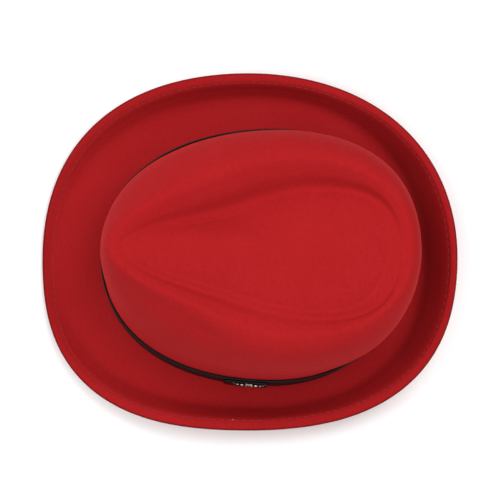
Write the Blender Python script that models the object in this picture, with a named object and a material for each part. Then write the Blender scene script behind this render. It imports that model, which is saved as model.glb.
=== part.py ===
"""Felt fedora with a teardrop crown, a short rolled brim, a leather band and a small metal ornament.

Metres, +Z up. The hat faces -Y and the wearer's left is +X. It rests on the flat underside of its
brim, the plane Z = 0, and the origin lies there under the middle of the brim's outline.

The felt is a stack of closed rings, from the island in the crease down to the edge of the brim. Each
ring is one section of the hat, and its four half widths and four heights come from the named sizes.
"""

from collections import namedtuple

import bmesh
import bpy
import numpy as np
from mathutils import Matrix, Vector

# Felt wall, and the stitched hem along the edge of the brim, which is folded and so thicker
FELT = 0.0020
HEM = 0.0028

# Head oval: the outside of the felt where the crown meets the brim
HEAD_LEFT = 0.0837  # from the hat's middle line, which runs under the middle of the crest
HEAD_RIGHT = 0.0843
HEAD_LENGTH = 0.2048
HEAD_WIDEST = 0.0090  # behind its middle

# Crest: the rounded ridge round the top, its heights and how far it stands in from the head oval
CREST_UP_LEFT = 0.1028
CREST_UP_RIGHT = 0.1048
CREST_UP_FRONT = 0.1080
CREST_UP_BACK = 0.0990
CREST_INSET_LEFT = 0.0302
CREST_INSET_RIGHT = 0.0308
CREST_INSET_FRONT = 0.0114
CREST_INSET_BACK = 0.0126
CREST_WIDEST = 0.0180  # behind the middle of the head oval

# Crease: the teardrop groove inside the crest, and the island that it goes round
CREASE_DEPTH_LEFT = 0.0058
CREASE_DEPTH_RIGHT = 0.0126
CREASE_DEPTH_FRONT = 0.0014
CREASE_DEPTH_BACK = 0.0022
CREASE_DIP_LEFT = 0.0036  # it's this much deeper between the side and the front
CREASE_DIP_RIGHT = 0.0072
CREASE_INSET_LEFT = 0.0110  # in from the crest, which is broader on the wearer's right
CREASE_INSET_RIGHT = 0.0178
CREASE_INSET_FRONT = 0.0070
CREASE_INSET_BACK = 0.0090
CREASE_WIDEST = 0.0340
ISLAND_IN_LEFT = 0.0030  # in from the bottom of the crease
ISLAND_IN_RIGHT = 0.0050
ISLAND_IN_ENDS = 0.0040
ISLAND_UP_LEFT = 0.0006  # its edge above the bottom of the crease
ISLAND_UP_RIGHT = 0.0022
ISLAND_DOME_UP = 0.0060  # middle of the island above its edge at the sides
ISLAND_MIDDLE = 0.0240  # behind the middle of the head oval

# Brim: how far it reaches beyond the head oval, seen from above, and how far its edge is rolled up
BRIM_LEFT = 0.0298
BRIM_RIGHT = 0.0373
BRIM_FRONT = 0.0398
BRIM_BACK = 0.0264
BRIM_WIDEST = -0.0055  # the edge is widest just in front of the middle of the head oval
ROLL_LEFT = 0.0200
ROLL_RIGHT = 0.0155
ROLL_FRONT = 0.0040
ROLL_BACK = 0.0310
BREAK_RADIUS = 0.0025  # the tight turn between crown and brim

# Fullness of the edge's corners against an ellipse, as front left, front right, back left, back right
EDGE_CORNERS = (0.080, 0.045, 0.060, 0.020)

# Leather band, and its free end, which overlaps it on the wearer's left
BAND_HEIGHT = 0.0240
BAND_THICKNESS = 0.0013
END_LENGTH = 0.0280
END_MIDDLE = -0.0090  # in front of the middle of the head oval
END_THICKNESS = 0.0010
END_MARGIN = 0.0008  # the free end is cut this much narrower than the band at each edge

# Metal ornament, a steer's head
ORNAMENT_WIDTH = 0.0212  # from horn tip to horn tip
ORNAMENT_MIDDLE = -0.0076  # in front of the middle of the head oval
ORNAMENT_UP = 0.0060  # above the middle of the band
HEAD_PLATE_HEIGHT = 0.0130
HEAD_PLATE_WIDTH = 0.0070
HEAD_PLATE_DEPTH = 0.0017
HORN_RADIUS = 0.0008
HORN_RISE = 0.0038
EAR_LENGTH = 0.0034
EAR_WIDTH = 0.0017

GAP = 0.0003  # between pieces that touch

COLUMNS = 72  # points round each ring
DOME_RINGS = 3

Section = namedtuple(
    "Section",
    "left right front back widest left_up right_up front_up back_up"
    " front_left front_right back_left back_right dip_left dip_right",
    defaults=(0.0, 0.0),
)

# Inner slope of the ridge, as shares of the way from the crest in and down to the crease, and the
# corners of the crease and of the island, in the order of the edge's
RIDGE_IN = 0.50
RIDGE_DOWN = 0.38
CREASE_CORNERS = (-0.100, -0.168, -0.016, -0.036)
ISLAND_CORNERS = (-0.125, -0.195, -0.080, -0.070)

# Crown wall, from the crest down to the band. sides, ends and widest are shares of the way in from
# the head oval to the crest, and up of the way from the brim to the crest. A corner above 0 is fuller
# than an ellipse, and below 0 it is pinched.
WallRow = namedtuple(
    "WallRow", "name sides ends up widest front_left front_right back_left back_right bands"
)
CROWN_WALL = (
    WallRow("crest", 1.00, 1.00, 1.000, 1.00, -0.124, -0.090, 0.000, 0.016, 2),
    WallRow("shoulder", 0.68, 0.60, 0.955, 0.66, -0.135, -0.080, -0.008, 0.018, 2),
    WallRow("high wall", 0.38, 0.30, 0.790, 0.48, -0.036, 0.005, 0.002, 0.022, 2),
    WallRow("low wall", 0.20, 0.14, 0.500, 0.30, 0.020, 0.036, 0.012, 0.020, 2),
)
BAND_TOP = WallRow("band top", 0.10, 0.07, 0.0, 0.10, 0.044, 0.036, -0.014, 0.005, 1)
HEAD_OVAL = WallRow("head oval", 0.00, 0.00, 0.0, 0.00, 0.042, 0.034, -0.028, -0.005, 1)

# Brim. left to back are shares of its reach, the ups shares of the roll, and edge_like says how far
# the ring has turned from the head oval's outline to the edge's.
BrimRow = namedtuple(
    "BrimRow", "name left right front back side_up front_up back_up edge_like bands"
)
BRIM = (
    BrimRow("flat", 0.38, 0.48, 0.62, 0.10, 0.00, 0.00, 0.00, 0.42, 1),
    BrimRow("turn", 0.50, 0.60, 0.74, 0.26, 0.07, 0.08, 0.07, 0.60, 2),
    BrimRow("roll", 0.64, 0.73, 0.84, 0.52, 0.45, 0.28, 0.46, 0.78, 2),
    BrimRow("lip", 0.76, 0.83, 0.91, 0.78, 0.86, 0.55, 0.89, 0.93, 2),
    BrimRow("hem", 0.82, 0.88, 0.95, 0.86, 0.94, 0.76, 0.98, 0.97, 1),
    BrimRow("edge", 1.00, 1.00, 1.00, 1.00, 1.00, 1.00, 1.00, 1.00, 2),
)


def clear_scene():
    for item in list(bpy.data.objects):
        bpy.data.objects.remove(item, do_unlink=True)


def material(name, colour, roughness, metallic=0.0):
    made = bpy.data.materials.new(name)
    made.use_nodes = True
    shader = made.node_tree.nodes["Principled BSDF"]
    shader.inputs["Base Color"].default_value = (*colour, 1.0)
    shader.inputs["Roughness"].default_value = roughness
    shader.inputs["Metallic"].default_value = metallic
    return made


def between_sections(first, second, share):
    return Section(*(np.array(first) + share * (np.array(second) - np.array(first))))


def top_section(inward, down):
    """A ring inside the crest, at its shares of the way in and down to the crease."""
    crest = wall_section(CROWN_WALL[0])
    crease = Section(
        crest.left - CREASE_INSET_LEFT,
        crest.right - CREASE_INSET_RIGHT,
        crest.front - CREASE_INSET_FRONT,
        crest.back - CREASE_INSET_BACK,
        CREASE_WIDEST,
        crest.left_up - CREASE_DEPTH_LEFT,
        crest.right_up - CREASE_DEPTH_RIGHT,
        crest.front_up - CREASE_DEPTH_FRONT,
        crest.back_up - CREASE_DEPTH_BACK,
        *CREASE_CORNERS,
        CREASE_DIP_LEFT,
        CREASE_DIP_RIGHT,
    )
    plan = between_sections(crest, crease, inward)
    heights = between_sections(crest, crease, down)
    return plan._replace(
        left_up=heights.left_up,
        right_up=heights.right_up,
        front_up=heights.front_up,
        back_up=heights.back_up,
        dip_left=heights.dip_left,
        dip_right=heights.dip_right,
    )


def island_section():
    """The edge of the island, just above the bottom of the crease."""
    crease = top_section(1.0, 1.0)
    return crease._replace(
        left=crease.left - ISLAND_IN_LEFT,
        right=crease.right - ISLAND_IN_RIGHT,
        front=crease.front - ISLAND_IN_ENDS,
        back=crease.back - ISLAND_IN_ENDS,
        left_up=crease.left_up + ISLAND_UP_LEFT,
        right_up=crease.right_up + ISLAND_UP_RIGHT,
        front_left=ISLAND_CORNERS[0],
        front_right=ISLAND_CORNERS[1],
        back_left=ISLAND_CORNERS[2],
        back_right=ISLAND_CORNERS[3],
    )


def wall_section(row, height=None):
    """A ring of the crown's wall, at its share of the crest's heights or at one height all round."""
    ups = [
        FELT + row.up * (crest - FELT) if height is None else height
        for crest in (CREST_UP_LEFT, CREST_UP_RIGHT, CREST_UP_FRONT, CREST_UP_BACK)
    ]
    return Section(
        HEAD_LEFT - row.sides * CREST_INSET_LEFT,
        HEAD_RIGHT - row.sides * CREST_INSET_RIGHT,
        HEAD_LENGTH / 2 - row.ends * CREST_INSET_FRONT,
        HEAD_LENGTH / 2 - row.ends * CREST_INSET_BACK,
        HEAD_WIDEST + row.widest * (CREST_WIDEST - HEAD_WIDEST),
        *ups,
        row.front_left,
        row.front_right,
        row.back_left,
        row.back_right,
    )


def widened(section, out, height):
    """The section moved out by a plan distance, at one height all round."""
    return section._replace(
        left=section.left + out,
        right=section.right + out,
        front=section.front + out,
        back=section.back + out,
        left_up=height,
        right_up=height,
        front_up=height,
        back_up=height,
    )


def brim_section(row):
    head = wall_section(HEAD_OVAL)
    corners = [
        start + row.edge_like * (end - start)
        for start, end in zip(head[9:13], EDGE_CORNERS)
    ]
    return Section(
        head.left + row.left * BRIM_LEFT,
        head.right + row.right * BRIM_RIGHT,
        head.front + row.front * BRIM_FRONT,
        head.back + row.back * BRIM_BACK,
        HEAD_WIDEST + row.edge_like * (BRIM_WIDEST - HEAD_WIDEST),
        FELT + row.side_up * ROLL_LEFT,
        FELT + row.side_up * ROLL_RIGHT,
        FELT + row.front_up * ROLL_FRONT,
        FELT + row.back_up * ROLL_BACK,
        *corners,
    )


def ring(section, angles):
    """Points of a ring. Angle 0 is the wearer's left, +90 degrees the back and -90 the front."""
    across, along = np.cos(angles), np.sin(angles)
    left, back = across > 0, along > 0
    corner = np.where(
        back,
        np.where(left, section.back_left, section.back_right),
        np.where(left, section.front_left, section.front_right),
    )
    reach = 1 + corner * np.sin(2 * angles) ** 2
    front, rear = section.front + section.widest, section.back - section.widest
    half, skew = (front + rear) / 2, (rear - front) / 2
    x = np.where(left, section.left, section.right) * reach * across
    y = section.widest + reach * (half * along + skew * along**2)
    side_up = np.where(left, section.left_up, section.right_up)
    end_up = np.where(back, section.back_up, section.front_up)
    dip = np.where(back, 0.0, np.where(left, section.dip_left, section.dip_right))
    z = side_up * across**2 + end_up * along**2 - dip * np.sin(2 * angles) ** 2
    return np.stack([x, y, z], axis=1)


def even_slopes(knots, values):
    """Slopes at the knots of a smooth curve that never swings past its own values."""
    spans = np.diff(knots)[:, None]
    secants = np.diff(values, axis=0) / spans
    slopes = np.zeros_like(values)
    slopes[0], slopes[-1] = secants[0], secants[-1]
    before, after = secants[:-1], secants[1:]
    same_way = before * after > 0
    weight_before = 2 * spans[1:] + spans[:-1]
    weight_after = spans[1:] + 2 * spans[:-1]
    safe_before = np.where(same_way, before, 1.0)
    safe_after = np.where(same_way, after, 1.0)
    mean = (weight_before + weight_after) / (weight_before / safe_before + weight_after / safe_after)
    slopes[1:-1] = np.where(same_way, mean, 0.0)
    return slopes


def sections_between(keys, bands):
    """The key sections with smooth ones between them: bands[i] steps lead up to key i."""
    values = np.array(keys)
    profile = values[:, [0, 5]]
    knots = np.concatenate([[0.0], np.cumsum(np.linalg.norm(np.diff(profile, axis=0), axis=1))])
    slopes = even_slopes(knots, values)
    found = [keys[0]]
    for i in range(1, len(keys)):
        span = knots[i] - knots[i - 1]
        for step in range(1, bands[i] + 1):
            t = step / bands[i]
            start = (1 + 2 * t) * (1 - t) ** 2 * values[i - 1] + t * (1 - t) ** 2 * span * slopes[i - 1]
            end = t**2 * (3 - 2 * t) * values[i] - t**2 * (1 - t) * span * slopes[i]
            found.append(Section(*(start + end)))
    return found


def band_sections():
    """The felt's two rings that the band lies between, lower and upper. The felt is straight there."""
    low = FELT + BREAK_RADIUS
    return wall_section(HEAD_OVAL, low), wall_section(BAND_TOP, low + GAP + BAND_HEIGHT + GAP)


def felt_sections():
    """All rings of the felt's outer side, from the island's edge to the brim's, with their walls."""
    keys = [island_section(), top_section(1.0, 1.0), top_section(RIDGE_IN, RIDGE_DOWN)]
    keys += [wall_section(row) for row in CROWN_WALL]
    bands = [0, 2, 2] + [row.bands for row in CROWN_WALL]
    band_low, band_high = band_sections()
    keys += [band_high, band_low]
    bands += [BAND_TOP.bands, HEAD_OVAL.bands]
    half_turn = 1 - np.sqrt(0.5)
    keys.append(widened(band_low, half_turn * BREAK_RADIUS, FELT + half_turn * BREAK_RADIUS))
    keys.append(widened(band_low, BREAK_RADIUS, FELT))
    bands += [1, 1]
    level = [len(keys) - 1, len(keys)]
    keys += [brim_section(row) for row in BRIM]
    bands += [row.bands for row in BRIM]
    sections = sections_between(keys, bands)
    level_rings = [sum(bands[: key + 1]) for key in level]
    hem_ring = len(sections) - 1 - BRIM[-1].bands
    walls = [FELT if i < hem_ring else HEM for i in range(len(sections))]
    return sections, walls, level_rings


def dome_rings(edge, edge_ring):
    """Rings of the island inside its edge, as a shallow dome about its middle."""
    up = (edge.left_up + edge.right_up) / 2 + ISLAND_DOME_UP
    middle = np.array([0.0, ISLAND_MIDDLE, up])
    rings = [np.array([middle])]
    for step in range(1, DOME_RINGS):
        share = step / DOME_RINGS
        points = middle + share * (edge_ring - middle)
        points[:, 2] = up + share**2 * (edge_ring[:, 2] - up)
        rings.append(points)
    return rings


def unit(vectors):
    return vectors / np.linalg.norm(vectors, axis=-1, keepdims=True)


def outward(rings):
    """Unit normals of the rings' outer side. The first ring is the island's middle, one point."""
    grid = np.array([np.repeat(rings[0], COLUMNS, axis=0)] + rings[1:])
    around = np.roll(grid, -1, axis=1) - np.roll(grid, 1, axis=1)
    down = np.gradient(grid, axis=0)
    normals = unit(np.cross(down[1:], around[1:]))
    return [np.array([[0.0, 0.0, 1.0]])] + list(normals)


def felt_rings():
    """Outer and inner rings of the felt wall."""
    sections, walls, level_rings = felt_sections()
    angles = np.arange(COLUMNS) * 2 * np.pi / COLUMNS
    wall_rings = [ring(section, angles) for section in sections]
    outer = dome_rings(sections[0], wall_rings[0]) + wall_rings
    walls = [FELT] * DOME_RINGS + walls
    inner = [points - wall * normal for points, wall, normal in zip(outer, walls, outward(outer))]
    first, last = (number + DOME_RINGS for number in level_rings)
    for number in range(first, last + 1):
        inner[number] = outer[number] - np.array([0.0, 0.0, FELT])
    return outer, inner


def brim_middle():
    """The middle of the felt's outline, seen from above, measured from the middle of the head oval."""
    outer, inner = felt_rings()
    points = np.concatenate(outer + inner)
    return (points.min(axis=0)[:2] + points.max(axis=0)[:2]) / 2


def finish(name, points, faces, finish_material, smooth_below=50):
    """Makes the object of one piece, moved so that the origin lies under the brim's middle."""
    middle = brim_middle()
    moved = np.array(points) - np.array([*middle, 0.0])
    mesh = bpy.data.meshes.new(name)
    mesh.from_pydata([tuple(point) for point in moved], [], faces)
    mesh.validate()
    mesh.shade_smooth()
    mesh.set_sharp_from_angle(angle=np.radians(smooth_below))
    mesh.materials.append(finish_material)
    made = bpy.data.objects.new(name, mesh)
    bpy.context.scene.collection.objects.link(made)
    return made


def strip_faces(first, second, count, closed=True):
    """Quads between two rows of points, which start at the given numbers."""
    faces = []
    for i in range(count if closed else count - 1):
        following = (i + 1) % count
        faces.append((first + i, second + i, second + following, first + following))
    return faces


def felt_body(felt):
    outer, inner = felt_rings()
    points = np.concatenate(outer + inner)
    inside = sum(len(rings) for rings in outer)
    starts = [0] + [1 + COLUMNS * i for i in range(len(outer) - 1)]
    faces = []
    for i in range(COLUMNS):
        following = (i + 1) % COLUMNS
        faces.append((0, 1 + i, 1 + following))
        faces.append((inside, inside + 1 + following, inside + 1 + i))
    for first, second in zip(starts[1:], starts[2:]):
        faces += strip_faces(first, second, COLUMNS)
        faces += strip_faces(inside + second, inside + first, COLUMNS)
    faces += strip_faces(starts[-1], inside + starts[-1], COLUMNS)
    return finish("felt_body", points, faces, felt)


def strap_rings(lower, upper, angles, gap, thickness):
    """The four corner rings of a strap that lies against the crown between two of its rings."""
    rings = []
    for out in (gap, gap + thickness):
        for section in (lower, upper):
            rings.append(ring(widened(section, out, section.left_up), angles))
    inner_low, inner_high, outer_low, outer_high = rings
    return [inner_low, inner_high, outer_high, outer_low]


def strap_seat(margin):
    """The crown's sections at the lower and upper edge of a strap that is cut narrower by a margin."""
    band_low, band_high = band_sections()
    height = band_high.left_up - band_low.left_up
    low_share = (GAP + margin) / height
    return (
        between_sections(band_low, band_high, low_share),
        between_sections(band_low, band_high, 1 - low_share),
    )


def hatband(leather):
    angles = np.arange(COLUMNS) * 2 * np.pi / COLUMNS
    rings = strap_rings(*strap_seat(0.0), angles, GAP, BAND_THICKNESS)
    faces = []
    for i in range(4):
        faces += strip_faces(COLUMNS * i, COLUMNS * ((i + 1) % 4), COLUMNS)
    return finish("hatband", np.concatenate(rings), faces, leather)


def angle_at(distance):
    """The angle at which the head oval lies this far behind its middle, on the wearer's left."""
    angles = np.linspace(-np.pi / 3, np.pi / 3, 400)
    return np.interp(distance, ring(wall_section(HEAD_OVAL, FELT), angles)[:, 1], angles)


def band_end(leather):
    count = 6
    angles = np.linspace(
        angle_at(END_MIDDLE - END_LENGTH / 2), angle_at(END_MIDDLE + END_LENGTH / 2), count
    )
    seat = strap_seat(END_MARGIN)
    rings = strap_rings(*seat, angles, 2 * GAP + BAND_THICKNESS, END_THICKNESS)
    faces = []
    for i in range(4):
        faces += strip_faces(count * i, count * ((i + 1) % 4), count, closed=False)
    faces.append(tuple(count * i for i in reversed(range(4))))
    faces.append(tuple(count * i + count - 1 for i in range(4)))
    return finish("band_end", np.concatenate(rings), faces, leather)


def ornament_place():
    """Turns the ornament's own frame, x along the band, y up it and z out of it, to its seat."""
    angles = angle_at(ORNAMENT_MIDDLE) + np.array([-0.01, 0.0, 0.01])
    low, high = (ring(section, angles) for section in strap_seat(0.0))
    along = Vector(unit(low[2] - low[0]))
    up = Vector(unit(high[1] - low[1]))
    out = along.cross(up).normalized()
    along = up.cross(out).normalized()
    middle = Vector((low[1] + high[1]) / 2) + up * ORNAMENT_UP
    seat = GAP + BAND_THICKNESS + GAP + END_THICKNESS + GAP
    brim = Vector((*brim_middle(), 0.0))
    turn = Matrix((along, up, out)).transposed().to_4x4()
    return Matrix.Translation(middle + out * seat - brim) @ turn


def new_mesh(name, points, faces):
    mesh = bpy.data.meshes.new(name)
    mesh.from_pydata([tuple(point) for point in points], [], faces)
    shape = bmesh.new()
    shape.from_mesh(mesh)
    bmesh.ops.recalc_face_normals(shape, faces=shape.faces)
    shape.to_mesh(mesh)
    shape.free()
    made = bpy.data.objects.new(name, mesh)
    bpy.context.scene.collection.objects.link(made)
    return made


# Steer's head, from the muzzle up to the poll: half width and depth as shares of the plate's
HeadRow = namedtuple("HeadRow", "name up half_width depth")
STEER_HEAD = (
    HeadRow("chin", 0.00, 0.34, 0.30),
    HeadRow("muzzle", 0.10, 0.56, 0.72),
    HeadRow("nose", 0.30, 0.50, 0.86),
    HeadRow("cheek", 0.55, 0.66, 0.90),
    HeadRow("brow", 0.78, 1.00, 0.96),
    HeadRow("poll", 1.00, 0.66, 0.55),
)


def steer_head():
    """The face plate, one ridged section for each row, on a flat back."""
    half_section = ((0.0, 1.0), (0.4, 0.74), (0.92, 0.36), (1.0, 0.0))
    across_out = [(-x, out) for x, out in half_section[:0:-1]] + list(half_section)
    points = []
    for row in STEER_HEAD:
        half = row.half_width * HEAD_PLATE_WIDTH / 2
        depth = row.depth * HEAD_PLATE_DEPTH
        up = (row.up - 0.62) * HEAD_PLATE_HEIGHT
        points += [(across * half, up, out * depth) for across, out in across_out]
    wide = len(across_out)
    faces = []
    for row in range(len(STEER_HEAD) - 1):
        faces += strip_faces(wide * row, wide * (row + 1), wide, closed=True)
    faces.append(tuple(range(wide)))
    faces.append(tuple(wide * (len(STEER_HEAD) - 1) + i for i in range(wide)))
    return new_mesh("ornament", points, faces)


def tapered_tube(name, route, radii, flat=1.0, sides=8):
    """A closed tube along a route in the ornament's plane, as rings round each of its points."""
    points, faces = [], []
    route = np.array(route)
    headings = unit(np.gradient(route, axis=0))
    out = np.array([0.0, 0.0, 1.0])
    for place, heading, radius in zip(route, headings, radii):
        beside = np.cross(heading, out)
        for i in range(sides):
            turn = 2 * np.pi * i / sides
            points.append(place + radius * (np.cos(turn) * beside + flat * np.sin(turn) * out))
    for i in range(len(route) - 1):
        faces += strip_faces(sides * i, sides * (i + 1), sides)
    faces.append(tuple(range(sides)))
    faces.append(tuple(sides * (len(route) - 1) + i for i in range(sides)))
    return new_mesh(name, points, faces)


def horn(side):
    """From the poll outwards, then up and slightly forwards to a blunt tip."""
    reach = ORNAMENT_WIDTH / 2 - HORN_RADIUS / 2
    start = 0.15 * HEAD_PLATE_WIDTH
    root = 0.30 * HEAD_PLATE_HEIGHT
    route, radii = [], []
    for t in np.linspace(0.0, 1.0, 8):
        across = side * (start + (reach - start) * np.sin(t * np.pi / 2))
        up = root - 0.25 * HORN_RISE * np.sin(t * np.pi) + HORN_RISE * t**2.4
        radii.append(HORN_RADIUS * (1 - 0.68 * t**1.5))
        route.append((across, up, radii[-1]))
    return tapered_tube("horn", route, radii)


def ear(side):
    """A small leaf below the horn."""
    root = 0.10 * HEAD_PLATE_HEIGHT
    start = 0.40 * HEAD_PLATE_WIDTH
    route = [
        (side * (start + EAR_LENGTH * t), root - 0.35 * EAR_LENGTH * t, EAR_WIDTH * 0.4)
        for t in (0.0, 0.35, 0.7, 1.0)
    ]
    radii = [EAR_WIDTH / 2 * share for share in (0.6, 1.0, 0.8, 0.25)]
    return tapered_tube("ear", route, radii, flat=0.7)


def ornament(metal):
    head = steer_head()
    for extra in (horn(-1), horn(1), ear(-1), ear(1)):
        join = head.modifiers.new("join " + extra.name, "BOOLEAN")
        join.operation = "UNION"
        join.object = extra
        extra.hide_render = True
        extra.display_type = "WIRE"
    head.matrix_world = ornament_place()
    for extra in bpy.data.objects:
        if extra.hide_render:
            extra.matrix_world = ornament_place()
    head.data.materials.append(metal)
    return head


def main():
    clear_scene()
    felt = material("red wool felt", (0.42, 0.022, 0.024), 0.92)
    leather = material("black leather", (0.012, 0.011, 0.011), 0.55)
    silver = material("polished alloy", (0.78, 0.74, 0.68), 0.22, 1.0)
    felt_body(felt)
    hatband(leather)
    band_end(leather)
    ornament(silver)


main()
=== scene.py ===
"""Looks of the red felt fedora: pressed wool felt with a stitched hem, a black leather band with its
overlapping end, and a small plated steer's head. Metres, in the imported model's frame.

The hat faces -Y, the wearer's left is +X, and it rests on Z = 0. The felt follows the same named
sections as the CAD solid, drawn with many more rings.
"""

import math
from collections import namedtuple
from functools import partial

import bmesh
import bpy
import numpy as np
from mathutils import Matrix, Vector


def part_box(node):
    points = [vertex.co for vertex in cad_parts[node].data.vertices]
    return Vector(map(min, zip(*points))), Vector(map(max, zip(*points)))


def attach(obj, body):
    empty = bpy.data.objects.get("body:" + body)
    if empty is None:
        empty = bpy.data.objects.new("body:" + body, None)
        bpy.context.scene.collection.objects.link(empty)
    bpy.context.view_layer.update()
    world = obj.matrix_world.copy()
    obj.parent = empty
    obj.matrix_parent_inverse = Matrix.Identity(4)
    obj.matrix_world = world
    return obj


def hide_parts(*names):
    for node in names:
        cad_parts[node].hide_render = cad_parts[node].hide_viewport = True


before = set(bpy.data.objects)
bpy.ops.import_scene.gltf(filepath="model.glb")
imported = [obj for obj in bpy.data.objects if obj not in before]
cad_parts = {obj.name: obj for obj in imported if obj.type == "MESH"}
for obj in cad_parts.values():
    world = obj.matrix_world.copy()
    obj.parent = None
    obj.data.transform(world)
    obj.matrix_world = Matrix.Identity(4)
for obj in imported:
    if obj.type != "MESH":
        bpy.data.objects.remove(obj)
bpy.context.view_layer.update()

MM = 0.001

# Felt wall, and the stitched hem along the edge of the brim, which is folded and so thicker
FELT = 0.0020
HEM = 0.0028

# Head oval: the outside of the felt where the crown meets the brim
HEAD_LEFT = 0.0837  # from the hat's middle line, which runs under the middle of the crest
HEAD_RIGHT = 0.0843
HEAD_LENGTH = 0.2048
HEAD_WIDEST = 0.0090  # behind its middle

# Crest: the rounded ridge round the top, its heights and how far it stands in from the head oval
CREST_UP_LEFT = 0.1028
CREST_UP_RIGHT = 0.1048
CREST_UP_FRONT = 0.1080
CREST_UP_BACK = 0.0990
CREST_INSET_LEFT = 0.0302
CREST_INSET_RIGHT = 0.0308
CREST_INSET_FRONT = 0.0114
CREST_INSET_BACK = 0.0126
CREST_WIDEST = 0.0180  # behind the middle of the head oval

# Crease: the teardrop groove inside the crest, and the island that it goes round
CREASE_DEPTH_LEFT = 0.0058
CREASE_DEPTH_RIGHT = 0.0126
CREASE_DEPTH_FRONT = 0.0014
CREASE_DEPTH_BACK = 0.0022
CREASE_DIP_LEFT = 0.0036  # it's this much deeper between the side and the front
CREASE_DIP_RIGHT = 0.0072
CREASE_INSET_LEFT = 0.0110  # in from the crest, which is broader on the wearer's right
CREASE_INSET_RIGHT = 0.0178
CREASE_INSET_FRONT = 0.0070
CREASE_INSET_BACK = 0.0090
CREASE_WIDEST = 0.0340
ISLAND_IN_LEFT = 0.0030  # in from the bottom of the crease
ISLAND_IN_RIGHT = 0.0050
ISLAND_IN_ENDS = 0.0040
ISLAND_UP_LEFT = 0.0006  # its edge above the bottom of the crease
ISLAND_UP_RIGHT = 0.0022
ISLAND_DOME_UP = 0.0060  # middle of the island above its edge at the sides
ISLAND_MIDDLE = 0.0240  # behind the middle of the head oval

# Brim: how far it reaches beyond the head oval, seen from above, and how far its edge is rolled up
BRIM_LEFT = 0.0298
BRIM_RIGHT = 0.0373
BRIM_FRONT = 0.0398
BRIM_BACK = 0.0264
BRIM_WIDEST = -0.0055  # the edge is widest just in front of the middle of the head oval
ROLL_LEFT = 0.0200
ROLL_RIGHT = 0.0155
ROLL_FRONT = 0.0040
ROLL_BACK = 0.0310
BREAK_RADIUS = 0.0025  # the tight turn between crown and brim

# Fullness of the edge's corners against an ellipse, as front left, front right, back left, back right
EDGE_CORNERS = (0.080, 0.045, 0.060, 0.020)

# Leather band, and its free end, which overlaps it on the wearer's left
BAND_HEIGHT = 0.0240
BAND_THICKNESS = 0.0013
END_LENGTH = 0.0280
END_MIDDLE = -0.0090  # in front of the middle of the head oval
END_THICKNESS = 0.0010
END_MARGIN = 0.0008  # the free end is cut this much narrower than the band at each edge

# Metal ornament, a steer's head
ORNAMENT_WIDTH = 0.0212  # from horn tip to horn tip
ORNAMENT_MIDDLE = -0.0076  # in front of the middle of the head oval
ORNAMENT_UP = 0.0060  # above the middle of the band
HEAD_PLATE_HEIGHT = 0.0130
HEAD_PLATE_WIDTH = 0.0070
HEAD_PLATE_DEPTH = 0.0017
HORN_RADIUS = 0.0008
HORN_RISE = 0.0038
EAR_LENGTH = 0.0034
EAR_WIDTH = 0.0017

GAP = 0.0003  # between pieces that touch

# How finely the felt is drawn: points round it, steps between two named rings and across the island
COLUMNS = 360
KEY_STEPS = 30
DOME_STEPS = 80
FOLD_ROWS = 10  # round the brim's edge
UNDER_ROWS = 12.0 * MM  # as many rows under the brim as on it, this far in from its edge

# Hem and its seam, from the brim's edge. The stitches are longer and in thicker thread than the real
# ones seem to be, so that they show as a faint broken line from a metre away.
HEM_STEP = (8.05 * MM, 8.55 * MM)  # raw edge of the folded felt
STITCH_LINE = 6.8 * MM
STITCH_PITCH = 5.0 * MM
STITCH_LENGTH = 3.9 * MM
STITCH_RISE = 0.15 * MM
STITCH_UNEVENNESS = 0.06
THREAD = 0.5 * MM
ARCH_SHARES = (-0.5, 0.5, -1.2, 2.6, 0.5)  # of a stitch's ends, their dip, its peak and the thread's radius
SEAM_DEPTH = 0.12 * MM  # the thread pulls the felt in
SEAM_WIDTH = 0.55 * MM
SEAM_DEPTH_UNDER = 0.8  # share of that on the underside

# The cut end of the seam's thread, on the wearer's left
CUT_END_BEHIND = -9.8 * MM  # the middle of the brim
CUT_END_TURN = math.radians(160)
CUT_END_LENGTH = 1.3 * MM
CUT_END_RISE = 0.6 * MM

# Thumb dent under the front left of the crest
DENT_MIDDLE = (0.0500, -0.0362, 0.0950)  # from the middle of the head oval
DENT_WAY = (0.42, 0.90, 0.03)
DENT_LENGTH = 20.0 * MM
DENT_WIDTH = 8.4 * MM
DENT_DEPTH = 1.2 * MM

# Pressed rim along the island's edge, with a faint dip inside it. It starts at one sine and cosine of
# the angle round the hat and is full at the other, so it's plain on the left and gone on the right.
RIM_HEIGHT = 0.46 * MM
RIM_FLANK_IN = 0.95 * MM
RIM_FLANK_OUT = 3.0 * MM
RIM_DIP = 0.16 * MM
RIM_DIP_IN = 1.9 * MM
RIM_DIP_WIDTH = 1.0 * MM
RIM_FROM_FRONT = (-1.0, -0.5)
RIM_FROM_RIGHT = (-0.5, 0.6)

# Uneven hand pressing, and the heights between which it sets in on the crown and on the brim
PRESS_DEPTH = 1.1 * MM
PRESS_PATCH = 34.0 * MM
PRESS_SEED = 4.0
PRESS_UP_CROWN = (29.0 * MM, 42.0 * MM)
PRESS_UP_BRIM = (FELT, FELT + 9 * MM)
PRESS_BRIM = 0.8  # share of it on the brim

# Edges of the leather
BAND_EDGE = 0.55 * MM
END_CORNER = 3.2 * MM
END_EDGE = 0.5 * MM
END_THINNED = 0.45  # share of its thickness that is pared off at its very ends

UP = np.array([0.0, 0.0, 1.0])
SIDES = ("left", "right", "front", "back")

Section = namedtuple(
    "Section",
    "left right front back widest left_up right_up front_up back_up"
    " front_left front_right back_left back_right dip_left dip_right",
    defaults=(0.0, 0.0),
)

# Inner slope of the ridge, as shares of the way from the crest in and down to the crease, and the
# corners of the crease and of the island, in the order of the edge's
RIDGE_IN = 0.50
RIDGE_DOWN = 0.38
CREASE_CORNERS = (-0.100, -0.168, -0.016, -0.036)
ISLAND_CORNERS = (-0.125, -0.195, -0.080, -0.070)

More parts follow.
